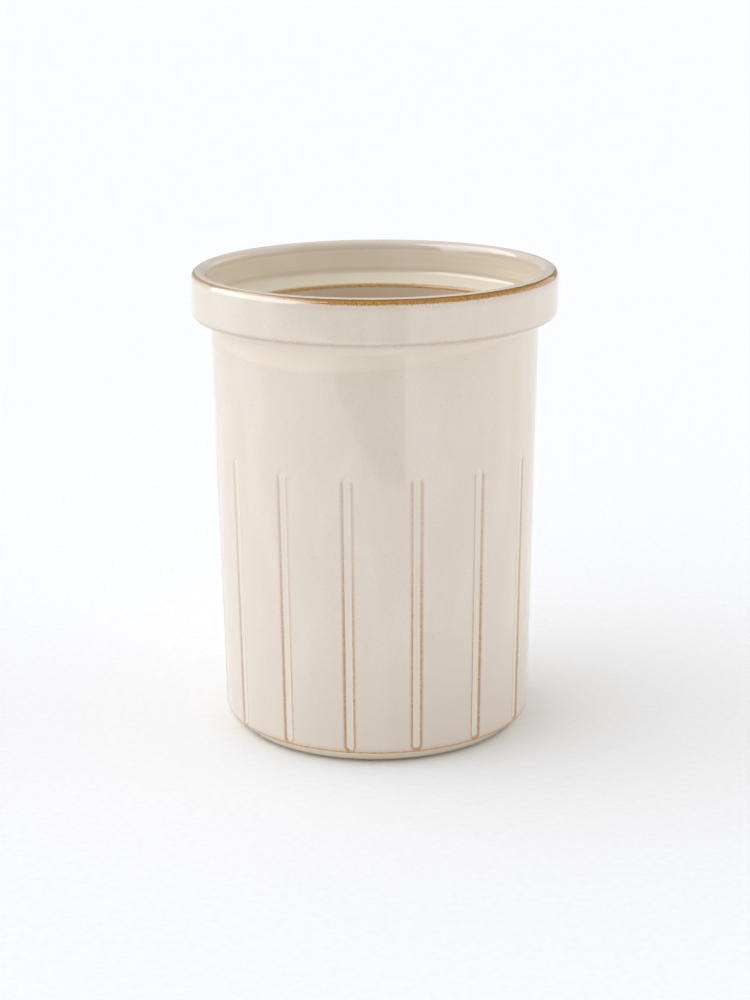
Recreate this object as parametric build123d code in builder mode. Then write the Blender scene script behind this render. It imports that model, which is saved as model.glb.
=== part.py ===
from build123d import *
import os

# Utensil crock: a stoneware vessel with a heavy collar, a gallery inside its mouth and
# fifteen flutes pressed into the wall, glazed all over but for the foot ring it stands on.
# Millimetres, +Z up. The origin is on the table, under the centre of the foot.
# Sizes are those of the fired pot, over the glaze, unless they say clay.

# Whole vessel
overall_height = 180.0
glaze_thickness = 0.5

# Collar, which stands out from the wall over a hollow fillet, and its lip
collar_diameter = 140.0
collar_height = 18.2
collar_low_round = 3.3
collar_shelf_width = 0.2
collar_fillet = 3.7
lip_outer_round = 2.8
lip_crest_width = 0.2
lip_inner_round = 2.4

# Gallery: the wider ring inside the mouth and the shoulder that leads down to the throat
gallery_floor_thickness = 5.3
gallery_draft = 1.0
gallery_fillet = 2.0
shoulder_drop = 4.3
throat_round = 1.2

# Wall, a slight cone: its radius grows by the flare from the foot up to the collar
wall_flare = 2.4
wall_thickness = 4.8

# Foot: a bevel below the wall, and the bare ring that stands on the table
foot_bevel_height = 5.5
foot_bevel_width = 6.5
foot_edge_round = 0.8
foot_ring_width = 4.5
foot_ring_round = 0.9
foot_recess_depth = 2.5
foot_recess_draft = 1.2
foot_recess_fillet = 1.5
glaze_line_height = 0.9

# Floor
floor_thickness = 6.0
floor_fillet = 7.0

# Flutes, with a pool of glaze in each floor
flute_count = 15
flute_turn = 14.0
flute_floor_width = 2.4
flute_foot_depth = 1.0
flute_top_depth = 0.6
flute_wall_draft = 31.0
flute_foot_gap = 1.2
flute_top_height = 111.4
flute_pool_thickness = 0.6

# Cutters run past what they cut by this much
overrun = 2.0

# Places worked out from the sizes
collar_radius = collar_diameter / 2
collar_base = overall_height - collar_height
mouth_radius = collar_radius - lip_outer_round - lip_crest_width - lip_inner_round
crest_radius = collar_radius - lip_outer_round - lip_crest_width / 2
gallery_radius = mouth_radius - gallery_draft
gallery_base = collar_base + gallery_floor_thickness
throat_height = gallery_base - shoulder_drop
wall_top_radius = collar_radius - collar_low_round - collar_shelf_width - collar_fillet
foot_edge_radius = wall_top_radius - wall_flare
foot_ring_radius = foot_edge_radius - foot_bevel_width
foot_ring_inner_radius = foot_ring_radius - foot_ring_width
foot_ring_middle_radius = foot_ring_radius - foot_ring_width / 2
floor_height = foot_recess_depth + floor_thickness
floor_middle = foot_recess_depth + floor_thickness / 2


def wall_radius(height):
    """Radius of the glazed wall at a height above the table."""
    rise_share = (height - foot_bevel_height) / (collar_base - foot_bevel_height)
    return foot_edge_radius + wall_flare * rise_share


def inner_radius(height):
    """Radius of the glazed inside of the wall at a height above the table."""
    return wall_radius(height) - wall_thickness


def middle_radius(height):
    """Radius half way through the wall."""
    return wall_radius(height) - wall_thickness / 2


# The section over the glaze, from the axis under the floor, round the foot, up the
# outside, over the lip and down the inside: each corner with its rounding. The foot ring
# is drawn as dipped, and the coat that is wiped off it is left out of the glaze below.
section_corners = [
    ((0, foot_recess_depth), 0),
    ((foot_ring_inner_radius - foot_recess_draft, foot_recess_depth), foot_recess_fillet),
    ((foot_ring_inner_radius, -glaze_thickness), foot_ring_round),
    ((foot_ring_radius, -glaze_thickness), foot_ring_round),
    ((foot_edge_radius, foot_bevel_height), foot_edge_round),
    ((wall_top_radius, collar_base), collar_fillet),
    ((collar_radius, collar_base), collar_low_round),
    ((collar_radius, overall_height), lip_outer_round),
    ((mouth_radius, overall_height), lip_inner_round),
    ((gallery_radius, gallery_base), gallery_fillet),
    ((inner_radius(throat_height), throat_height), throat_round),
    ((inner_radius(floor_height), floor_height), floor_fillet),
    ((0, floor_height), 0),
]

with BuildSketch(Plane.XZ) as coated_section:
    with BuildLine():
        FilletPolyline(
            *[corner for corner, rounding in section_corners],
            radius=[rounding for corner, rounding in section_corners],
            close=True,
        )
    make_face()

# The clay under the glaze, with its floor run on to the axis
with BuildSketch(Plane.XZ) as clay_section:
    add(coated_section.sketch)
    offset(amount=-glaze_thickness, kind=Kind.INTERSECTION)
    with Locations((0, floor_middle)):
        Rectangle(
            foot_ring_inner_radius / 2,
            floor_thickness - 2 * glaze_thickness,
            align=(Align.MIN, Align.CENTER),
        )

# The coats part half way through the clay: the liner lies inside of this line, which
# runs from the middle of the floor up the wall and through the crest of the lip
with BuildSketch(Plane.XZ) as liner_zone:
    with BuildLine():
        Polyline(
            (0, floor_middle),
            (middle_radius(floor_middle), floor_middle),
            (middle_radius(throat_height), throat_height),
            (crest_radius, gallery_base),
            (crest_radius, overall_height + overrun),
            (0, overall_height + overrun),
            close=True,
        )
    make_face()

# The coat under the floor, down to the glaze line on the inside of the foot ring
with BuildSketch(Plane.XZ) as base_zone:
    with Locations((0, glaze_line_height)):
        Rectangle(
            foot_ring_middle_radius,
            floor_middle - glaze_line_height,
            align=(Align.MIN, Align.MIN),
        )

# The rest is the outer coat, above the same glaze line on the bevel
with BuildSketch(Plane.XZ) as outer_zone:
    with Locations((0, glaze_line_height)):
        Rectangle(
            collar_diameter,
            overall_height,
            align=(Align.MIN, Align.MIN),
        )
    add(liner_zone.sketch, mode=Mode.SUBTRACT)
    add(base_zone.sketch, mode=Mode.SUBTRACT)

# The floor of the flute at the front: straight, and a little deeper at the foot
flute_floor_foot = Vector(
    0,
    flute_foot_depth - wall_radius(foot_bevel_height + flute_foot_gap),
    foot_bevel_height + flute_foot_gap,
)
flute_floor_top = Vector(0, flute_top_depth - wall_radius(flute_top_height), flute_top_height)
flute_rise = flute_floor_top - flute_floor_foot
flute_plane = Plane(
    origin=(flute_floor_foot + flute_floor_top) / 2,
    x_dir=Vector(1, 0, 0),
    z_dir=Vector(1, 0, 0).cross(flute_rise),
)

# Cutter for the glazed face of one flute: round ends and walls that lean outwards
with BuildPart() as glaze_flute:
    with BuildSketch(flute_plane):
        SlotOverall(flute_rise.length, flute_floor_width, rotation=90)
    extrude(amount=flute_foot_depth + overrun, taper=-flute_wall_draft)

# The same for the clay, deeper by the pool of glaze
with BuildPart() as clay_flute:
    with BuildSketch(flute_plane.offset(-flute_pool_thickness)):
        SlotOverall(flute_rise.length, flute_floor_width, rotation=90)
    extrude(
        amount=flute_pool_thickness + flute_foot_depth + overrun,
        taper=-flute_wall_draft,
    )

# Stoneware body: the whole fired clay vessel, with the flutes pressed into its wall
with BuildPart() as stoneware_body:
    with BuildSketch(Plane.XZ):
        add(clay_section.sketch)
    revolve(axis=Axis.Z)
    with PolarLocations(0, flute_count, start_angle=flute_turn):
        add(clay_flute.part, mode=Mode.SUBTRACT)
stoneware_body.part.label = "stoneware_body"

# Outer glaze: it fills the room between the fired outside and the clay, flutes included
with BuildPart() as outer_glaze:
    with BuildSketch(Plane.XZ):
        add(coated_section.sketch)
        add(outer_zone.sketch, mode=Mode.INTERSECT)
    revolve(axis=Axis.Z)
    add(stoneware_body.part, mode=Mode.SUBTRACT)
    with PolarLocations(0, flute_count, start_angle=flute_turn):
        add(glaze_flute.part, mode=Mode.SUBTRACT)
outer_glaze.part.label = "outer_glaze"

# Liner glaze: the coat poured inside, from the crest of the lip down over the floor
with BuildPart() as liner_glaze:
    with BuildSketch(Plane.XZ):
        add(coated_section.sketch)
        add(liner_zone.sketch, mode=Mode.INTERSECT)
        add(clay_section.sketch, mode=Mode.SUBTRACT)
    revolve(axis=Axis.Z)
liner_glaze.part.label = "liner_glaze"

# Base glaze: the coat in the recess under the floor
with BuildPart() as base_glaze:
    with BuildSketch(Plane.XZ):
        add(coated_section.sketch)
        add(base_zone.sketch, mode=Mode.INTERSECT)
        add(clay_section.sketch, mode=Mode.SUBTRACT)
    revolve(axis=Axis.Z)
base_glaze.part.label = "base_glaze"

os.makedirs("parts", exist_ok=True)
export_step(stoneware_body.part, "parts/stoneware_body.step")
export_step(outer_glaze.part, "parts/outer_glaze.step")
export_step(liner_glaze.part, "parts/liner_glaze.step")
export_step(base_glaze.part, "parts/base_glaze.step")
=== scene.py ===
import math

import bmesh
import bpy
from mathutils import Matrix, Vector


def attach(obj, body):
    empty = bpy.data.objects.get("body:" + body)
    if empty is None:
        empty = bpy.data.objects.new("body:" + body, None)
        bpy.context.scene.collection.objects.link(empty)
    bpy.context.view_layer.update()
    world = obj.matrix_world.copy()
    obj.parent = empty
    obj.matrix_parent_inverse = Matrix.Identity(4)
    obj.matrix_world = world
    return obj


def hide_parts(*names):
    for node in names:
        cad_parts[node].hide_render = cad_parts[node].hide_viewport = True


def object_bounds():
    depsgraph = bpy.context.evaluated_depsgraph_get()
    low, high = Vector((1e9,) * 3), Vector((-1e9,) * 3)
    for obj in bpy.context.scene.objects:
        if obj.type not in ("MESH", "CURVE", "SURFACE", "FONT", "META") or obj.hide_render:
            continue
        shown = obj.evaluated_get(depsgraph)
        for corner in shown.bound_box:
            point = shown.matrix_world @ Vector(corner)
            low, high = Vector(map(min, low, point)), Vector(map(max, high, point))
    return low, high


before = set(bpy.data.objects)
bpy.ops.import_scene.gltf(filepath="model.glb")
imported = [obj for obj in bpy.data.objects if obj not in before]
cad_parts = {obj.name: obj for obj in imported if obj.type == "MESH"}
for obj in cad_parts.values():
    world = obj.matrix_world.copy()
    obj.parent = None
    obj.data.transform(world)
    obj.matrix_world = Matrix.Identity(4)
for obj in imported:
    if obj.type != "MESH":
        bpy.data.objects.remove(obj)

# Utensil crock: cream glaze over stoneware, broken to brown on the edges it runs off.
# Metres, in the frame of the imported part: the table is z = 0 and the front is -Y.
cad_low, cad_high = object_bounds()
mm = 0.001

# Sizes of the pot over the glaze
overall_height = cad_high.z
collar_radius = cad_high.x
collar_height = 18.2 * mm
collar_low_round = 3.3 * mm
collar_shelf_width = 0.2 * mm
collar_fillet = 3.7 * mm
lip_outer_round = 2.8 * mm
lip_crest_width = 0.2 * mm
lip_inner_round = 2.4 * mm
gallery_floor_thickness = 5.3 * mm
gallery_draft = 1.0 * mm
gallery_fillet = 2.0 * mm
shoulder_drop = 4.3 * mm
throat_round = 1.2 * mm
wall_flare = 2.4 * mm
wall_thickness = 4.8 * mm
foot_bevel_height = 5.5 * mm
foot_bevel_width = 6.5 * mm
foot_edge_round = 0.8 * mm
foot_ring_width = 4.5 * mm
foot_recess_depth = 2.5 * mm
foot_recess_draft = 1.2 * mm
foot_recess_fillet = 1.5 * mm
floor_thickness = 6.0 * mm
floor_fillet = 7.0 * mm
glaze_line_height = 0.9 * mm
glaze_thickness = 0.5 * mm

# Flutes as their pooled glaze shows them, with a soft end just above the pressed slot
flute_count = 15
flute_turn = math.radians(14.0)
flute_floor_half = 1.2 * mm
flute_foot_depth = 0.6 * mm
flute_top_depth = 0.4 * mm
flute_wall_draft = math.radians(48.0)
flute_arris_round = 0.4 * mm
flute_corner_round = 0.4 * mm
flute_foot_gap = 1.2 * mm
flute_top_end = 113.0 * mm
flute_top_stretch = 1.5
flute_run_out = 8.0 * mm
flute_run_out_share = 0.4

# Fineness of the meshes, and the angle past which a rim is shaded sharp
around_steps = 210
arc_step = math.radians(9.0)
flute_round_steps = 4
row_step = 4.0 * mm
section_step = 2.5 * mm
weld = 0.002 * mm
sharp_angle = math.radians(50)

# Places worked out from the sizes
collar_base = overall_height - collar_height
gallery_base = collar_base + gallery_floor_thickness
throat_height = gallery_base - shoulder_drop
floor_height = foot_recess_depth + floor_thickness
mouth_radius = collar_radius - lip_outer_round - lip_crest_width - lip_inner_round
crest_radius = collar_radius - lip_outer_round - lip_crest_width / 2
gallery_radius = mouth_radius - gallery_draft
wall_top_radius = collar_radius - collar_low_round - collar_shelf_width - collar_fillet
foot_edge_radius = wall_top_radius - wall_flare
foot_ring_radius = foot_edge_radius - foot_bevel_width
foot_ring_inner_radius = foot_ring_radius - foot_ring_width
flute_foot_end = foot_bevel_height + flute_foot_gap
flute_foot_centre = flute_foot_end + flute_floor_half
flute_top_centre = flute_top_end - flute_floor_half * flute_top_stretch


def wall_radius(height):
    """Radius of the glazed wall at a height above the table."""
    rise_share = (height - foot_bevel_height) / (collar_base - foot_bevel_height)
    return foot_edge_radius + wall_flare * rise_share


def inner_radius(height):
    """Radius of the glazed inside at a height above the table."""
    return wall_radius(height) - wall_thickness


# Drawing and turning

def rounded_line(corners):
    """Points (radius, height) of a line through corners (radius, height, rounding)."""
    places = [Vector(corner[:2]) for corner in corners]
    line = [places[0]]
    for before, here, after, corner in zip(places, places[1:], places[2:], corners[1:]):
        back, on = (before - here).normalized(), (after - here).normalized()
        turn = math.pi - back.angle(on)
        rounding = corner[2]
        start = here + back * rounding * math.tan(turn / 2)
        centre = here + (back + on).normalized() * rounding / math.cos(turn / 2)
        side = math.copysign(turn, back.cross(on) * -1)
        steps = max(2, math.ceil(turn / arc_step))
        spoke = start - centre
        for step in range(steps + 1):
            angle = side * step / steps
            cosine, sine = math.cos(angle), math.sin(angle)
            line.append(centre + Vector((spoke.x * cosine - spoke.y * sine,
                                         spoke.x * sine + spoke.y * cosine)))
    return line + [places[-1]]


def divided(line, longest):
    """The same line with its long straight runs cut into even steps."""
    points = [line[0]]
    for start, end in zip(line, line[1:]):
        steps = max(1, math.ceil((end - start).length / longest))
        points += [start.lerp(end, (step + 1) / steps) for step in range(steps)]
    return points


def select(test, kind="VERT"):
    """In edit mode, select only the vertices, edges or faces that pass the test."""
    mesh = bpy.context.edit_object.data
    bpy.ops.mesh.select_mode(type=kind)
    bpy.ops.mesh.select_all(action="DESELECT")
    shape = bmesh.from_edit_mesh(mesh)
    parts = {"VERT": shape.verts, "EDGE": shape.edges, "FACE": shape.faces}[kind]
    for part in parts:
        if test(part):
            part.select = True
    shape.select_flush_mode()
    bmesh.update_edit_mesh(mesh)


def start_point(name, place):
    """A new piece in edit mode: one vertex at a place, selected."""
    bpy.ops.object.select_all(action="DESELECT")
    bpy.ops.mesh.primitive_plane_add(size=mm)
    piece = bpy.context.active_object
    piece.name = piece.data.name = name
    bpy.ops.object.mode_set(mode="EDIT")
    bpy.ops.mesh.select_mode(type="VERT")
    bpy.ops.mesh.select_all(action="SELECT")
    bpy.ops.mesh.merge(type="CENTER")
    bpy.ops.transform.translate(value=place)
    return piece


def turned(name, line):
    """A surface of revolution: the section line is drawn at the right and spun."""
    points = [Vector((point.x, 0, point.y)) for point in line]
    piece = start_point(name, points[0])
    for start, end in zip(points, points[1:]):
        bpy.ops.mesh.extrude_vertices_move(TRANSFORM_OT_translate={"value": end - start})
    bpy.ops.mesh.select_all(action="SELECT")
    bpy.ops.mesh.spin(steps=around_steps, angle=math.tau, center=(0, 0, 0), axis=(0, 0, 1))
    bpy.ops.mesh.select_all(action="SELECT")
    bpy.ops.mesh.remove_doubles(threshold=weld)
    bpy.ops.object.mode_set(mode="OBJECT")
    return piece


def outwards(place, normal):
    """Above zero where a face looks away from the pot's axis, below where it looks to it."""
    return place.x * normal.x + place.y * normal.y


def face_towards(piece, wanted):
    """Make the normals agree, and turn them if the test says they point the wrong way."""
    bpy.ops.object.select_all(action="DESELECT")
    bpy.context.view_layer.objects.active = piece
    piece.select_set(True)
    bpy.ops.object.mode_set(mode="EDIT")
    bpy.ops.mesh.select_all(action="SELECT")
    bpy.ops.mesh.normals_make_consistent(inside=False)
    bpy.ops.object.mode_set(mode="OBJECT")
    right = sum(1 if wanted(face.center, face.normal) else -1 for face in piece.data.polygons)
    if right < 0:
        bpy.ops.object.mode_set(mode="EDIT")
        bpy.ops.mesh.select_all(action="SELECT")
        bpy.ops.mesh.flip_normals()
        bpy.ops.object.mode_set(mode="OBJECT")


def coat(piece):
    """Give the glazed face its thickness, away from the side that shows."""
    shell = piece.modifiers.new("glaze_thickness", "SOLIDIFY")
    shell.thickness = glaze_thickness
    shell.offset = -1
    shell.use_even_offset = True
    bpy.context.view_layer.objects.active = piece
    bpy.ops.object.modifier_apply(modifier=shell.name)


def smooth(piece):
    """Smooth shading, but for the cut rims."""
    bpy.ops.object.select_all(action="DESELECT")
    bpy.context.view_layer.objects.active = piece
    piece.select_set(True)
    bpy.ops.object.shade_smooth_by_angle(angle=sharp_angle)


# Outer glaze: one panel with one flute, made flat, bent round and repeated

panel_angle = math.tau / flute_count
panel_width = foot_edge_radius * panel_angle
window_half = 4.2 * mm
window_above_flute = 4.0 * mm
window_top = flute_top_end + window_above_flute
window_columns = 6
side_columns = 4
end_rows = 3


def flute_profile():
    """Half widths and depths across a flute, from the wall in to the middle of its floor."""
    slope = math.pi / 2 - flute_wall_draft
    mouth_half = flute_floor_half + flute_foot_depth * math.tan(flute_wall_draft)
    mouth_half += flute_arris_round * math.tan(slope / 2)
    corner_half = flute_floor_half - flute_corner_round * math.tan(slope / 2)
    profile = []
    for step in range(flute_round_steps + 1):
        angle = slope * step / flute_round_steps
        profile.append((mouth_half - flute_arris_round * math.sin(angle),
                        flute_arris_round * (1 - math.cos(angle))))
    for step in range(flute_round_steps + 1):
        angle = slope * (1 - step / flute_round_steps)
        profile.append((corner_half + flute_corner_round * math.sin(angle),
                        flute_foot_depth - flute_corner_round * (1 - math.cos(angle))))
    return profile + [(flute_floor_half / 2, flute_foot_depth), (0.0, flute_foot_depth)]


def depth_share(height):
    """How deep the flute is pressed at a height, as a share of its depth at the foot."""
    rise_share = (height - flute_foot_end) / (flute_top_end - flute_foot_end)
    even = 1 + (flute_top_depth / flute_foot_depth - 1) * min(1, max(0, rise_share))
    run_out_share = min(1, max(0, 1 - (flute_top_end - height) / flute_run_out))
    return even * (1 - flute_run_out_share * run_out_share ** 2)


def even_steps(start, end, steps):
    """Places from start to end, both included."""
    return [start + (end - start) * step / steps for step in range(steps + 1)]


def resize(value, place=(0, 0, 0)):
    """Scale what is selected about a place."""
    bpy.ops.transform.resize(value=value, center_override=place)


def ring_verts(test):
    """The vertices of the selected ring that pass a test, as a test for select()."""
    shape = bmesh.from_edit_mesh(bpy.context.edit_object.data)
    chosen = {vert.index for vert in shape.verts if vert.select and test(vert)}
    return lambda vert: vert.index in chosen


def outer_line():
    """The glazed outside in section, from the glaze line on the bevel to the lip's crest."""
    bevel_slope = foot_bevel_width / (foot_bevel_height + glaze_thickness)
    glaze_line_radius = foot_ring_radius + (glaze_line_height + glaze_thickness) * bevel_slope
    return rounded_line([
        (glaze_line_radius, glaze_line_height, 0),
        (foot_edge_radius, foot_bevel_height, foot_edge_round),
        (wall_top_radius, collar_base, collar_fillet),
        (collar_radius, collar_base, collar_low_round),
        (collar_radius, overall_height, lip_outer_round),
        (crest_radius, overall_height, 0),
    ])


def start_sheet(bottom, top):
    """The wall as a flat upright sheet, with rows that suit the flute's round ends."""
    heights = even_steps(bottom, flute_foot_centre, end_rows)
    heights += even_steps(flute_foot_centre, flute_top_centre,
                          round((flute_top_centre - flute_foot_centre) / row_step))[1:]
    heights += even_steps(flute_top_centre, window_top, end_rows)[1:]
    heights += even_steps(window_top, top, round((top - window_top) / row_step))[1:]
    columns = even_steps(-panel_width / 2, -window_half, side_columns)
    columns += even_steps(-window_half, window_half, window_columns)[1:]
    columns += even_steps(window_half, panel_width / 2, side_columns)[1:]
    sheet = start_point("outer_glaze_coat", (columns[0], 0, heights[0]))
    for left, right in zip(columns, columns[1:]):
        bpy.ops.mesh.extrude_vertices_move(TRANSFORM_OT_translate={"value": (right - left, 0, 0)})
    bpy.ops.mesh.select_all(action="SELECT")
    for low, high in zip(heights, heights[1:]):
        bpy.ops.mesh.extrude_edges_move(TRANSFORM_OT_translate={"value": (0, 0, high - low)})
    return sheet, heights


def open_window(bottom):
    """Open the sheet where the flute goes, and select the border of the opening."""
    def on_border(vert):
        across, up = abs(vert.co.x), vert.co.z
        return (across < window_half + weld and up < window_top + weld
                and (across > window_half - weld or up > window_top - weld
                     or up < bottom + weld))

    def in_window(face):
        middle = face.calc_center_median()
        return abs(middle.x) < window_half and middle.z < window_top

    select(in_window, "FACE")
    bpy.ops.mesh.delete(type="ONLY_FACE")
    select(lambda edge: edge.is_wire and not all(map(on_border, edge.verts)), "EDGE")
    bpy.ops.mesh.delete(type="EDGE")
    select(lambda edge: all(map(on_border, edge.verts))
           and (edge.is_wire or edge.is_boundary), "EDGE")


def round_end(sheet, centre, squareness, half, stretch):
    """Make a half round of a selected square end, which may be stretched upwards."""
    resize((1, 1, squareness), centre)
    bpy.ops.transform.tosphere(value=1.0, center_override=centre)
    shape = bmesh.from_edit_mesh(sheet.data)
    reach = max((vert.co - Vector(centre)).length for vert in shape.verts if vert.select)
    resize((half / reach, 1, half * stretch / reach), centre)


def press_flute(sheet, bottom):
    """Draw the border in, ring by ring, to the flute's mouth, its walls and its floor."""
    profile = flute_profile()
    mouth_half = profile[0][0]
    ends = (
        (lambda vert: vert.co.z < flute_foot_centre - weld, (0, 0, flute_foot_centre),
         mouth_half / (flute_foot_centre - bottom), 1.0),
        (lambda vert: vert.co.z > flute_top_centre + weld, (0, 0, flute_top_centre),
         mouth_half / (window_top - flute_top_centre), flute_top_stretch),
    )
    half, depth = window_half, 0.0
    for next_half, next_depth in profile:
        move = (0, next_depth - depth, 0)
        bpy.ops.mesh.extrude_edges_move(TRANSFORM_OT_translate={"value": move})
        ring = ring_verts(lambda vert: True)
        end_groups = [ring_verts(test) for test, centre, squareness, stretch in ends]
        resize((next_half / half, 1, 1))
        for group, (test, centre, squareness, stretch) in zip(end_groups, ends):
            select(group)
            if half == window_half:
                round_end(sheet, centre, squareness, mouth_half, stretch)
            else:
                resize((1, 1, next_half / half), centre)
        select(ring)
        bpy.ops.mesh.select_mode(type="EDGE")
        half, depth = next_half, next_depth
    bpy.ops.mesh.select_all(action="SELECT")
    bpy.ops.mesh.remove_doubles(threshold=weld)


def run_flute_out(heights):
    """Raise the flute's floor towards its top, row by row."""
    for height in heights:
        select(lambda vert: abs(vert.co.z - height) < weld and abs(vert.co.y) > 0)
        resize((1, depth_share(height), 1))
    select(lambda vert: vert.co.z > flute_top_centre + weld and abs(vert.co.y) > 0)
    resize((1, depth_share(flute_top_end), 1))


def bend_round(panel):
    """Bend the panel to its share of the pot, and repeat it all round."""
    bend = panel.modifiers.new("bend", "SIMPLE_DEFORM")
    bend.deform_method = "BEND"
    bend.deform_axis = "Z"
    bend.angle = panel_angle
    bpy.ops.object.modifier_apply(modifier=bend.name)
    panel.location = (0, -foot_edge_radius, 0)
    bpy.ops.object.transform_apply(location=True, rotation=True, scale=True)
    panel.rotation_euler.z = flute_turn
    bpy.ops.object.transform_apply(location=True, rotation=True, scale=True)
    bpy.ops.object.mode_set(mode="EDIT")
    bpy.ops.mesh.select_all(action="SELECT")
    bpy.ops.mesh.spin(steps=flute_count - 1, angle=math.tau - panel_angle, dupli=True,
                      center=(0, 0, 0), axis=(0, 0, 1))
    bpy.ops.mesh.select_all(action="SELECT")
    bpy.ops.mesh.remove_doubles(threshold=weld)
    bpy.ops.object.mode_set(mode="OBJECT")


def make_outer_glaze():
    """The glazed outside: the longest run of its section is the wall, which has the flutes."""
    line = outer_line()
    runs = [(end - start).length for start, end in zip(line, line[1:])]
    wall_run = runs.index(max(runs))
    wall_foot, wall_top = line[wall_run], line[wall_run + 1]
    panel, heights = start_sheet(wall_foot.y, wall_foot.y + max(runs))
    open_window(wall_foot.y)
    press_flute(panel, wall_foot.y)
    run_flute_out(heights[end_rows + 1:])

    # The sheet leans out, and the foot bevel and the collar are drawn on from its ends
    bpy.ops.mesh.select_all(action="SELECT")
    bpy.ops.transform.translate(value=(0, 0, -wall_foot.y))
    bpy.ops.object.mode_set(mode="OBJECT")
    panel.rotation_euler.x = math.atan2(wall_top.x - wall_foot.x, wall_top.y - wall_foot.y)
    panel.location = (0, foot_edge_radius - wall_foot.x, wall_foot.y)
    bpy.ops.object.transform_apply(location=True, rotation=True, scale=True)
    bpy.ops.object.mode_set(mode="EDIT")
    below = divided(line[:wall_run + 1], section_step)[::-1]
    above = divided(line[wall_run + 1:], section_step)
    for near, points in ((wall_foot.y, below), (wall_top.y, above)):
        select(lambda edge: all(abs(end.co.z - near) < weld for end in edge.verts), "EDGE")
        for start, end in zip(points, points[1:]):
            move = (0, start.x - end.x, end.y - start.y)
            bpy.ops.mesh.extrude_edges_move(TRANSFORM_OT_translate={"value": move})
    bpy.ops.object.mode_set(mode="OBJECT")
    bend_round(panel)
    face_towards(panel, lambda place, normal: outwards(place, normal) > 0)
    coat(panel)
    smooth(panel)
    return panel


# Liner and base glaze: turned like the pot

def make_liner_glaze():
    """The glazed inside, from the crest of the lip down over the floor."""
    liner = turned("liner_glaze_coat", divided(rounded_line([
        (crest_radius, overall_height, 0),
        (mouth_radius, overall_height, lip_inner_round),
        (gallery_radius, gallery_base, gallery_fillet),
        (inner_radius(throat_height), throat_height, throat_round),
        (inner_radius(floor_height), floor_height, floor_fillet),
        (0, floor_height, 0),
    ]), row_step))
    face_towards(liner, lambda place, normal: normal.z * 2 * mm > outwards(place, normal))
    coat(liner)
    smooth(liner)
    return liner


def make_base_glaze():
    """The coat in the recess under the floor, down to the glaze line inside the ring."""
    recess_slope = foot_recess_draft / (foot_recess_depth + glaze_thickness)
    line_radius = foot_ring_inner_radius - (glaze_line_height + glaze_thickness) * recess_slope
    base = turned("base_glaze_coat", divided(rounded_line([
        (0, foot_recess_depth, 0),
        (foot_ring_inner_radius - foot_recess_draft, foot_recess_depth, foot_recess_fillet),
        (line_radius, glaze_line_height, 0),
    ]), row_step))
    face_towards(base, lambda place, normal: normal.z < 0)
    coat(base)
    smooth(base)
    return base


# Materials

def shade(red, green, blue):
    """A colour as a screen shows it, each part from 0 to 255, as the shader takes it."""
    parts = [part / 255 for part in (red, green, blue)]
    return (*[part / 12.92 if part <= 0.04045 else ((part + 0.055) / 1.055) ** 2.4
              for part in parts], 1.0)


cream = shade(222, 212, 196)
cream_pale = shade(227, 219, 206)
cream_rosy = shade(224, 211, 197)
cream_low = shade(209, 197, 181)
cream_yellow = shade(236, 225, 206)
yellow_line = shade(226, 208, 170)
pooled_cream = shade(226, 217, 201)
pooled_shadow = shade(223, 214, 198)
dusty_pink = shade(204, 174, 158)
dusty_grey = shade(190, 178, 172)
blue_grey = shade(160, 160, 158)
rust = shade(193, 141, 74)
dark_rust = shade(160, 105, 38)
lip_gold = shade(194, 146, 72)
lip_brown = shade(150, 100, 36)
throat_gold = shade(206, 164, 108)
throat_brown = shade(180, 134, 78)
# The bevel's khaki is partly the thin glaze's own colour and partly painted light, lightened for
# the bounce and reflection of the bright table
khaki = shade(236, 223, 197)
khaki_line = shade(222, 210, 180)
gallery_pale = shade(240, 230, 208)
# For the fine turning rings, and for painted shade in the corner above the shoulder
gallery_rings_and_shade = shade(196, 180, 152)
inside_yellow = shade(232, 218, 190)
inside_pink = shade(212, 188, 166)
stoneware = shade(196, 172, 146)
stoneware_dark = shade(168, 142, 118)
stoneware_pale = shade(208, 186, 160)
grog = shade(112, 90, 72)
floor_pale = shade(247, 247, 247)
floor_white = shade(250, 250, 250)
room_dark = shade(48, 44, 40)
room_brown = shade(62, 58, 54)

# Glaze: how it bends light, and where it lies unevenly round the pot
refraction = 1.6
low_tone_turn = math.radians(60.0)
yellow_run_turn = -0.435
yellow_run_depth = 7.0 * mm
yellow_run_swing = 3.9 * mm
# The lip's line narrows and pales away from two broad sides: partly the glaze's own unevenness,
# partly painted reflection of the window
lip_broad_turn = math.radians(30.0)
lip_narrowing = math.radians(24)

# Specks: the share of places that stay without one
speck_free_share = 0.55

# Rust and pool of a flute: how far they reach from its middle line
rust_reach = 1.72 * mm
rust_half_width = 0.48 * mm
bloom_reach = 2.3 * mm
pool_edge = 1.42 * mm
pool_full = 1.22 * mm
pool_rim = 1.05 * mm


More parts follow.
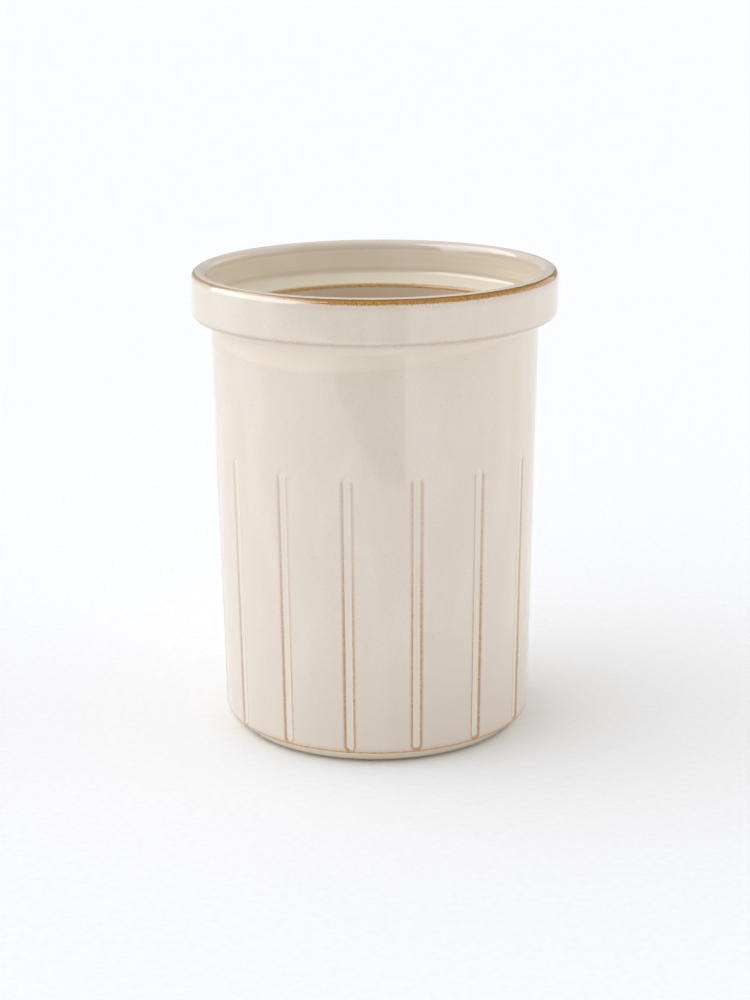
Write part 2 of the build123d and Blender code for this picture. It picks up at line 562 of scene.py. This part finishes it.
class Nodes:
    """Short ways to add nodes to a tree."""

    def __init__(self, tree):
        self.tree = tree

    def node(self, kind, inputs, **settings):
        """A node with its settings, and its inputs linked or set."""
        added = self.tree.nodes.new(kind)
        for setting, value in settings.items():
            setattr(added, setting, value)
        for socket, value in inputs.items():
            if isinstance(value, bpy.types.NodeSocket):
                self.tree.links.new(value, added.inputs[socket])
            else:
                added.inputs[socket].default_value = value
        return added

    def figure(self, operation, *values, clamp=False):
        """A sum, product or other figure of numbers and sockets."""
        return self.node("ShaderNodeMath", dict(enumerate(values)),
                         operation=operation, use_clamp=clamp).outputs[0]

    def product(self, first, *others):
        """Numbers and sockets multiplied together."""
        for other in others:
            first = self.figure("MULTIPLY", first, other)
        return first

    def rise(self, value, start, end, low=0.0, high=1.0):
        """From low to high, smoothly, as a value goes from start to end."""
        return self.node("ShaderNodeMapRange", {
            "Value": value, "From Min": start, "From Max": end, "To Min": low, "To Max": high,
        }, interpolation_type="SMOOTHSTEP").outputs[0]

    def band(self, value, middle, half_width, softness):
        """1 where a value lies about the middle, and 0 away from it."""
        away = self.figure("ABSOLUTE", self.figure("SUBTRACT", value, middle))
        return self.rise(away, half_width + softness, half_width - softness)

    def laid(self, ground, colour, share, *others):
        """A ground with a colour laid over it, as thickly as the product of the shares."""
        share = self.product(share, *others)
        # Inputs 6 and 7 and output 2 of a Mix node are the ones for colours
        return self.node("ShaderNodeMix", {0: share, 6: ground, 7: colour},
                         data_type="RGBA").outputs[2]


class Finish(Nodes):
    """A material on object coordinates, with the places on the pot that its marks follow."""

    def __init__(self, name):
        self.material = bpy.data.materials.new(name)
        self.material.use_nodes = True
        super().__init__(self.material.node_tree)
        self.shader = self.tree.nodes["Principled BSDF"]
        self.shader.inputs["IOR"].default_value = refraction
        self.place = self.tree.nodes.new("ShaderNodeTexCoord").outputs["Object"]
        x, y, self.height = self.node("ShaderNodeSeparateXYZ", {0: self.place}).outputs
        self.radius = self.figure("SQRT", self.figure(
            "ADD", self.product(x, x), self.product(y, y)))
        # The angle round the pot, from the front towards +X
        self.angle = self.figure("ARCTAN2", x, self.product(y, -1.0))

    def mottle(self, size, stretch=(1, 1, 1), detail=2.0, seed=(0, 0, 0)):
        """Soft irregular patches of a size, longer along an axis where it is stretched."""
        grain = self.node("ShaderNodeMapping", {
            "Vector": self.place, "Location": seed, "Scale": tuple(1 / part for part in stretch)})
        return self.node("ShaderNodeTexNoise", {
            "Vector": grain.outputs[0], "Scale": 1 / size, "Detail": detail}).outputs[0]

    def patches(self, size, start, end, low=0.0, high=1.0, **pattern):
        """Mottle drawn apart: low where it is under the start, and high over the end."""
        return self.rise(self.mottle(size, **pattern), start, end, low, high)

    def ragged(self, value, size, reach, seed=(0, 0, 0)):
        """A value shifted to and fro by up to about a reach, in patches of a size."""
        shift = self.figure("MULTIPLY_ADD", self.mottle(size, seed=seed), 4 * reach, -2 * reach)
        return self.figure("ADD", value, shift)

    def wave(self, turn, count=2):
        """From -1 to 1 and back, a count of times round the pot, and highest at a turn."""
        return self.figure("COSINE", self.figure(
            "MULTIPLY_ADD", self.angle, float(count), -count * turn))

    def specks(self, spacing, size):
        """Small round specks, one to each cell of the spacing at most, of uneven size."""
        cells = self.node("ShaderNodeTexVoronoi", {"Vector": self.place, "Scale": 1 / spacing})
        chance = self.node("ShaderNodeSeparateColor", {0: cells.outputs["Color"]}).outputs[0]
        size_share = self.figure("SUBTRACT", chance, speck_free_share, clamp=True)
        reach = self.figure("MULTIPLY", size_share, 2 * size / spacing)
        gap = self.figure("SUBTRACT", cells.outputs["Distance"], reach)
        return self.rise(gap, 0.0, -0.5 * size / spacing)

    def bump(self, height, depth, normal=None):
        """A relief of a depth on the surface, over another relief if there is one."""
        inputs = {"Height": height, "Distance": depth, "Strength": 1.0}
        if normal is not None:
            inputs["Normal"] = normal
        return self.node("ShaderNodeBump", inputs).outputs[0]

    def finish(self, colour, roughness, normal):
        """Feed the shader and return the material."""
        self.tree.links.new(colour, self.shader.inputs["Base Color"])
        self.tree.links.new(roughness, self.shader.inputs["Roughness"])
        self.tree.links.new(normal, self.shader.inputs["Normal"])
        return self.material


def glaze_ground(finish):
    """The cream glaze itself: slow drifts of tone, fine grain and a few blue-grey specks."""
    drift = finish.patches(28 * mm, 0.38, 0.62, stretch=(1, 1, 2.5))
    ground = finish.laid(cream, cream_rosy, drift)
    drift = finish.patches(17 * mm, 0.45, 0.7, stretch=(1, 1, 3), seed=(3, 1, 2))
    ground = finish.laid(ground, cream_pale, drift, 0.7)
    grain = finish.patches(0.55 * mm, 0.5, 0.72, seed=(5, 2, 7))
    ground = finish.laid(ground, dusty_grey, grain, 0.22)
    ground = finish.laid(ground, blue_grey, finish.specks(2.6 * mm, 0.34 * mm), 0.5)
    return finish.laid(ground, rust, finish.specks(7.1 * mm, 0.4 * mm), 0.6)


def glaze_relief(finish):
    """The glaze's surface: slow waves and fine orange peel."""
    waves = finish.bump(finish.mottle(9 * mm, (1, 1, 2), detail=1.0), 0.05 * mm)
    return finish.bump(finish.mottle(0.7 * mm, seed=(4, 4, 1)), 0.004 * mm, waves)


def glaze_sheen(finish):
    """Glossy, with patches that are a little duller."""
    return finish.patches(12 * mm, 0.3, 0.7, 0.05, 0.11, seed=(9, 1, 4))


def burnt_rust(finish, size, seed):
    """Rust, burnt darker in patches of a size."""
    return finish.laid(rust, dark_rust, finish.patches(size, 0.45, 0.7, seed=seed))


def collar_marks(finish, ground):
    """Yellow glaze run down under the collar, and a pink line on the collar's low edge."""
    run = finish.figure("MULTIPLY_ADD", finish.wave(yellow_run_turn), yellow_run_swing,
                        yellow_run_depth)
    run = finish.ragged(run, 12 * mm, 0.6 * mm)
    below = finish.figure("SUBTRACT", collar_base, finish.height)
    past = finish.figure("SUBTRACT", below, run)
    ground = finish.laid(ground, cream_yellow, finish.rise(past, 1.5 * mm, -3.0 * mm),
                         finish.rise(below, -0.4 * mm, 1.0 * mm), 0.6)
    ground = finish.laid(ground, yellow_line, finish.band(past, 0.0, 0.2 * mm, 0.4 * mm), 0.7)
    above = finish.ragged(finish.figure("SUBTRACT", finish.height, collar_base),
                          0.8 * mm, 0.3 * mm)
    ground = finish.laid(ground, dusty_grey, finish.band(above, 1.6 * mm, 0.6 * mm, 0.9 * mm),
                         finish.patches(0.5 * mm, 0.3, 0.7, 0.1, 0.75))
    return finish.laid(ground, dusty_pink, finish.band(above, 1.5 * mm, 0.45 * mm, 0.5 * mm),
                       finish.patches(0.35 * mm, 0.35, 0.62, 0.3, 1.0, seed=(3, 3, 8)))


def low_tone(finish, ground):
    """Browner cream low on the wall, most of all towards the right."""
    side = finish.figure("MULTIPLY_ADD", finish.wave(low_tone_turn, 1), 0.45, 0.55)
    return finish.laid(ground, cream_low, finish.rise(finish.height, 60 * mm, 6 * mm, 0.0, 0.75),
                       side)


def from_flute(finish):
    """How far a place is from the middle line of the nearest flute: across, and in all."""
    half_panel = panel_angle / 2
    turn = finish.figure("WRAP", finish.figure("SUBTRACT", finish.angle, flute_turn),
                         half_panel, -half_panel)
    across = finish.figure("MULTIPLY", finish.radius, turn)
    below = finish.figure("SUBTRACT", flute_foot_centre, finish.height)
    above = finish.product(finish.figure("SUBTRACT", finish.height, flute_top_centre),
                           1 / flute_top_stretch)
    past_end = finish.figure("MAXIMUM", finish.figure("MAXIMUM", below, above), 0.0)
    away = finish.figure("SQRT", finish.figure("ADD", finish.product(across, across),
                                               finish.product(past_end, past_end)))
    return across, away


def flute_marks(finish, ground):
    """Rust on the arrises of each flute, and the thick pale glaze pooled in its floor."""
    across, away = from_flute(finish)
    edge = finish.ragged(away, 0.35 * mm, 0.16 * mm)
    below_tip = finish.rise(finish.height, flute_top_centre + 1.4 * mm,
                            flute_top_centre - 1.0 * mm)
    above_bevel = finish.rise(finish.height, foot_bevel_height - 0.2 * mm,
                              foot_bevel_height + 0.2 * mm)
    uneven = finish.figure("MULTIPLY_ADD", finish.wave(flute_turn), 0.4, 0.6)
    uneven = finish.figure("ADD", uneven, finish.rise(finish.height, 70 * mm, 20 * mm, 0.0, 0.22),
                           clamp=True)

    # A grey bloom beside the rust, then the rust, which is orange low down and pink above
    bloom = finish.band(edge, bloom_reach, 0.2 * mm, 0.5 * mm)
    ground = finish.laid(ground, dusty_grey, bloom, below_tip, above_bevel, uneven,
                         finish.patches(0.5 * mm, 0.3, 0.7, 0.3, 0.9))
    orange = finish.figure("MULTIPLY_ADD", finish.mottle(0.7 * mm, seed=(2, 8, 5)), 2.4, -1.3)
    orange = finish.figure("ADD", orange, finish.rise(finish.height, 96 * mm, 46 * mm, 0.1, 1.2),
                           clamp=True)
    burnt = burnt_rust(finish, 0.45 * mm, (6, 3, 3))
    line = finish.band(edge, rust_reach, rust_half_width, 0.2 * mm)
    ground = finish.laid(ground, finish.laid(dusty_pink, burnt, orange),
                         line, below_tip, above_bevel, uneven,
                         finish.patches(0.35 * mm, 0.32, 0.62, 0.4, 1.0, seed=(4, 9, 9)))

    # Golden brown below the flute's end, down to the foot edge
    below_end = finish.rise(finish.figure("ABSOLUTE", across), 2.1 * mm, 1.3 * mm)
    down = finish.rise(finish.height, flute_foot_end + 0.6 * mm, flute_foot_end - 0.2 * mm)
    ground = finish.laid(ground, burnt, below_end, down, above_bevel, uneven)

    # The pool: pale, with a slightly darker middle and a lighter rim
    middle = finish.band(away, 0.0, 0.35 * mm, 0.35 * mm)
    rim = finish.band(away, pool_rim, 0.1 * mm, 0.12 * mm)
    pool = finish.laid(finish.laid(pooled_cream, pooled_shadow, middle), cream_pale, rim, 0.6)
    return finish.laid(ground, pool, finish.rise(away, pool_edge, pool_full))


def foot_marks(finish, ground):
    """A rust line on the foot edge under a pink bloom, and thin khaki glaze on the bevel, painted
    lighter to stand in for light from the bright table below.
    """
    bloom = finish.rise(finish.ragged(finish.height, 0.5 * mm, 0.6 * mm),
                        foot_bevel_height + 2.4 * mm, foot_bevel_height + 0.4 * mm, 0.0, 0.5)
    ground = finish.laid(ground, dusty_pink, bloom)
    rings = finish.patches(0.6 * mm, 0.4, 0.62, stretch=(60, 60, 1))
    # Thin khaki glaze on the bevel, lightened with painted light from the bright table below
    bevel = finish.rise(finish.height, foot_bevel_height - 0.1 * mm,
                        foot_bevel_height - 0.6 * mm)
    ground = finish.laid(ground, finish.laid(khaki, khaki_line, rings), bevel)
    line = finish.band(finish.ragged(finish.height, 0.5 * mm, 0.16 * mm, seed=(1, 5, 1)),
                       foot_bevel_height + 0.05 * mm, 0.36 * mm, 0.3 * mm)
    ground = finish.laid(ground, burnt_rust(finish, 0.6 * mm, (5, 5, 1)), line,
                         finish.patches(0.8 * mm, 0.3, 0.65, 0.45, 1.0))
    rim = finish.rise(finish.ragged(finish.height, 0.8 * mm, 0.1 * mm),
                      glaze_line_height + 0.8 * mm, glaze_line_height + 0.1 * mm, 0.0, 0.6)
    return finish.laid(ground, stoneware_dark, rim)


def lip_marks(finish, ground):
    """Rust where the glaze runs off the outer rounding of the lip, broader on two sides; where it
    is narrower and paler, towards the left front, it is partly painted reflection of the window.
    """
    out = finish.figure("SUBTRACT", finish.radius, collar_radius - lip_outer_round)
    up = finish.figure("SUBTRACT", finish.height, overall_height - lip_outer_round)
    round_angle = finish.figure("ARCTAN2", out, up)
    # Narrower and paler away from the broad sides: partly uneven glaze, partly a painted reflection
    # of the window washing the line out at the left front
    broad = finish.rise(finish.wave(lip_broad_turn), -0.6, 0.1)
    uneven = finish.figure("MULTIPLY_ADD", broad, 0.25, 0.75)
    edge = finish.ragged(round_angle, 0.45 * mm, math.radians(7))
    edge = finish.figure("ADD", edge, finish.figure(
        "MULTIPLY_ADD", broad, -lip_narrowing, lip_narrowing))

    # A pink bloom below the line, where the line is broad
    bloom = finish.rise(edge, math.radians(60), math.radians(84))
    near_lip = finish.rise(finish.height, overall_height - 5.2 * mm, overall_height - 2.8 * mm)
    ground = finish.laid(ground, dusty_pink, bloom, near_lip,
                         finish.patches(0.45 * mm, 0.35, 0.65, 0.0, 0.6, seed=(7, 7, 2)), broad)

    # The line: gold, browner in its upper part and in speckles
    burn = finish.rise(round_angle, math.radians(56), math.radians(34))
    speckle = finish.patches(0.45 * mm, 0.4, 0.66, seed=(8, 2, 2))
    gold = finish.laid(lip_gold, lip_brown, finish.figure("MAXIMUM", burn, speckle), uneven)
    start = finish.rise(finish.ragged(round_angle, 2 * mm, math.radians(2)),
                        math.radians(24), math.radians(30))
    end = finish.rise(edge, math.radians(82), math.radians(72))
    return finish.laid(ground, gold, start, end, uneven)


def outer_finish():
    """Cream outside, with the marks of the collar, the flutes, the foot and the lip."""
    finish = Finish("outer_cream_glaze")
    colour = glaze_ground(finish)
    for marks in (collar_marks, low_tone, flute_marks, foot_marks, lip_marks):
        colour = marks(finish, colour)
    return finish.finish(colour, glaze_sheen(finish), glaze_relief(finish))


def gallery_marks(finish, ground):
    """Yellower below the lip, with fine rings, a pink line, painted shade in the corner above the
    shoulder, and a pale shoulder.
    """
    below_lip = finish.rise(finish.height, overall_height - 1.5 * mm, overall_height - 3.5 * mm)
    ground = finish.laid(ground, inside_yellow, below_lip, 0.5)
    rings = finish.patches(0.5 * mm, 0.4, 0.7, 0.0, 0.16, stretch=(80, 80, 1))
    ground = finish.laid(ground, gallery_rings_and_shade, rings, below_lip)
    below = finish.ragged(finish.figure("SUBTRACT", overall_height, finish.height),
                          0.7 * mm, 0.3 * mm)
    ground = finish.laid(ground, dusty_pink, finish.band(below, 3.0 * mm, 0.3 * mm, 0.9 * mm), 0.5)
    above_shoulder = finish.figure("SUBTRACT", finish.height, gallery_base)
    # Painted shade in the corner where the gallery wall meets the shoulder
    corner = finish.band(above_shoulder, 1.5 * mm, 0.5 * mm, 1.0 * mm)
    ground = finish.laid(ground, gallery_rings_and_shade, corner, 0.4)
    shoulder = finish.rise(above_shoulder, 0.6 * mm, -0.6 * mm)
    return finish.laid(ground, gallery_pale, shoulder, 0.8)


def throat_marks(finish, ground):
    """Rosier inside below the throat, and a ragged golden brown line on the throat."""
    below = finish.figure("SUBTRACT", throat_height, finish.height)
    ground = finish.laid(ground, inside_pink, finish.rise(below, 0.0, 1.5 * mm),
                         finish.rise(below, 60 * mm, 6 * mm), 0.8)
    edge = finish.ragged(below, 0.5 * mm, 0.25 * mm)
    brown = finish.laid(throat_gold, throat_brown,
                        finish.patches(0.5 * mm, 0.4, 0.66, seed=(2, 2, 6)))
    return finish.laid(ground, brown, finish.band(edge, 0.3 * mm, 0.75 * mm, 0.4 * mm))


def liner_finish():
    """Cream inside, with the marks of the gallery and the throat."""
    finish = Finish("liner_cream_glaze")
    colour = gallery_marks(finish, glaze_ground(finish))
    colour = throat_marks(finish, colour)
    return finish.finish(colour, glaze_sheen(finish), glaze_relief(finish))


def base_finish():
    """Thinner cream under the floor, browned where it was wiped off the foot ring."""
    finish = Finish("base_cream_glaze")
    # The bevel's khaki, which carries painted light from the table, tints the glaze under the floor
    colour = finish.laid(glaze_ground(finish), khaki, 0.4)
    rim = finish.rise(finish.ragged(finish.height, 1.0 * mm, 0.2 * mm),
                      glaze_line_height + 1.0 * mm, glaze_line_height + 0.2 * mm)
    colour = finish.laid(colour, rust, rim)
    return finish.finish(colour, glaze_sheen(finish), glaze_relief(finish))


def bare_finish():
    """Unglazed stoneware: buff, dry, with dark grog and the marks of wiping and turning."""
    finish = Finish("bare_stoneware")
    rings = finish.patches(0.8 * mm, 0.35, 0.65, stretch=(40, 40, 1))
    colour = finish.laid(stoneware, stoneware_dark, rings, 0.5)
    colour = finish.laid(colour, stoneware_pale, finish.patches(6 * mm, 0.4, 0.7), 0.5)
    colour = finish.laid(colour, grog, finish.specks(1.6 * mm, 0.3 * mm))
    roughness = finish.patches(3 * mm, 0.3, 0.7, 0.75, 0.92)
    grit = finish.bump(finish.mottle(0.4 * mm, detail=4.0), 0.05 * mm)
    return finish.finish(colour, roughness, grit)


def floor_finish():
    """A pale seamless floor, with the slightest unevenness."""
    finish = Finish("pale_floor")
    finish.shader.inputs["Specular IOR Level"].default_value = 0.0
    colour = finish.laid(floor_pale, floor_white, finish.patches(3 * mm, 0.3, 0.7))
    roughness = finish.patches(4 * mm, 0.3, 0.7, 0.8, 0.9)
    grain = finish.bump(finish.mottle(2 * mm), 0.02 * mm)
    return finish.finish(colour, roughness, grain)


def dark_finish():
    """Dull dark brown, for what the glaze mirrors of the room in front."""
    finish = Finish("dark_surround")
    colour = finish.laid(room_dark, room_brown, finish.mottle(0.2))
    roughness = finish.patches(0.1, 0.3, 0.7, 0.8, 0.9)
    grain = finish.bump(finish.mottle(5 * mm), 0.1 * mm)
    return finish.finish(colour, roughness, grain)


# Coats in place of the CAD's own, over the clay that the CAD made

outer = make_outer_glaze()
liner = make_liner_glaze()
base = make_base_glaze()
for piece, node, slot_name, material in (
    (outer, "outer_glaze", "outer_cream_glaze", outer_finish()),
    (liner, "liner_glaze", "liner_cream_glaze", liner_finish()),
    (base, "base_glaze", "base_cream_glaze", base_finish()),
):
    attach(piece, "root")
    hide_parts(node)
    piece.data.materials.append(material)
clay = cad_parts["stoneware_body"]
clay.data.materials[0] = bare_finish()


# Floor, light and camera

floor_size = 24.0
dark_corners = ((0.13, -0.38), (-0.25, -0.55), (-0.52, -0.76), (-0.9, -0.48),
                (-4.5, -2.4), (-4.5, -6.0), (2.05, -6.0))
card_aim_height = 150 * mm
sky_strength = 0.385
sky_glow_power = 4.0
# Azimuth from the front towards +X and elevation, in degrees, and the glow's colour
sky_glows = (
    (180, 20, (0.75, 0.75, 0.75)),
    (-95, 34, (1.62, 1.65, 1.76)),
    (-45, 20, (0.66, 0.69, 0.74)),
    (90, 5, (1.82, 1.82, 1.82)),
)
camera_lens = 73.6
camera_sensor_width = 36.0
camera_shift = (-0.00113, -0.00044)
camera_place = (0, -0.77386, 0.30830)
camera_tilt = math.radians(15.92)
camera_roll = math.radians(-0.40)


def make_floor():
    """A plain level floor under the pot."""
    bpy.ops.mesh.primitive_plane_add(size=floor_size)
    floor = bpy.context.active_object
    floor.name = "floor"
    floor.data.materials.append(floor_finish())


def make_dark_surround():
    """The dark room past the edge of the table in front: only the glaze mirrors it."""
    corners = [Vector((x, y, 2 * mm)) for x, y in dark_corners]
    sheet = start_point("dark_surround", corners[0])
    for start, end in zip(corners, corners[1:]):
        bpy.ops.mesh.extrude_vertices_move(TRANSFORM_OT_translate={"value": end - start})
    bpy.ops.mesh.select_all(action="SELECT")
    bpy.ops.mesh.edge_face_add()
    bpy.ops.object.mode_set(mode="OBJECT")
    sheet.data.materials.append(dark_finish())
    sheet.visible_camera = False
    sheet.visible_diffuse = False
    sheet.visible_shadow = False


def towards(azimuth, elevation):
    """The direction at an azimuth from the front towards +X, and an elevation, in degrees."""
    turn, lift = math.radians(azimuth), math.radians(elevation)
    return Vector((math.sin(turn) * math.cos(lift), -math.cos(turn) * math.cos(lift),
                   math.sin(lift)))


def make_card(name, azimuth, elevation, distance, size, power, colour):
    """A bright card that the glaze mirrors: it faces the pot and lights nothing itself."""
    data = bpy.data.lights.new(name, "AREA")
    data.shape = "RECTANGLE"
    data.size, data.size_y = size
    data.energy = power
    data.color = colour
    card = bpy.data.objects.new(name, data)
    bpy.context.scene.collection.objects.link(card)
    aim = Vector((0, 0, card_aim_height))
    card.location = aim + towards(azimuth, elevation) * distance
    card.rotation_euler = (aim - card.location).to_track_quat("-Z", "Y").to_euler()
    card.visible_camera = False
    card.visible_diffuse = False


def make_sky():
    """Even light from all round, and broad soft glows that light but aren't mirrored."""
    world = bpy.data.worlds.new("studio")
    world.use_nodes = True
    nodes = Nodes(world.node_tree)
    direction = nodes.tree.nodes.new("ShaderNodeTexCoord").outputs["Generated"]
    glows = (0, 0, 0)
    for azimuth, elevation, glow in sky_glows:
        facing = nodes.node("ShaderNodeVectorMath",
                            {0: direction, 1: towards(azimuth, elevation)},
                            operation="DOT_PRODUCT").outputs["Value"]
        spread = nodes.figure("POWER", nodes.figure("MAXIMUM", facing, 0.0), sky_glow_power)
        glows = nodes.node("ShaderNodeVectorMath", {0: spread, 1: glow, 2: glows},
                           operation="MULTIPLY_ADD").outputs["Vector"]
    mirrored = nodes.tree.nodes.new("ShaderNodeLightPath").outputs["Is Glossy Ray"]
    unmirrored = nodes.figure("SUBTRACT", 1.0, mirrored)
    light = nodes.node("ShaderNodeVectorMath",
                       {0: glows, 1: unmirrored, 2: (sky_strength, sky_strength, sky_strength)},
                       operation="MULTIPLY_ADD").outputs["Vector"]
    world.node_tree.links.new(light, world.node_tree.nodes["Background"].inputs["Color"])
    bpy.context.scene.world = world


def make_camera():
    """The camera at the photograph's angle, which looks down and is rolled a little."""
    data = bpy.data.cameras.new("camera")
    data.lens = camera_lens
    data.sensor_width = camera_sensor_width
    data.shift_x, data.shift_y = camera_shift
    camera = bpy.data.objects.new("camera", data)
    bpy.context.scene.collection.objects.link(camera)
    camera.location = camera_place
    camera.rotation_mode = "XYZ"
    camera.rotation_euler = (math.pi / 2 - camera_tilt, 0, 0)
    camera.rotation_euler = (camera.rotation_euler.to_matrix()
                             @ Matrix.Rotation(camera_roll, 3, "Z")).to_euler()
    bpy.context.scene.camera = camera


make_floor()
make_dark_surround()
make_card("window", azimuth=-83, elevation=30, distance=1.3, size=(1.96, 1.5),
          power=35.0, colour=(1.0, 1.0, 1.0))
make_card("side_card", azimuth=110, elevation=14, distance=1.5, size=(2.4, 0.65),
          power=5.0, colour=(0.9, 0.95, 1.0))
make_sky()
bpy.context.scene.view_settings.view_transform = "Standard"
make_camera()
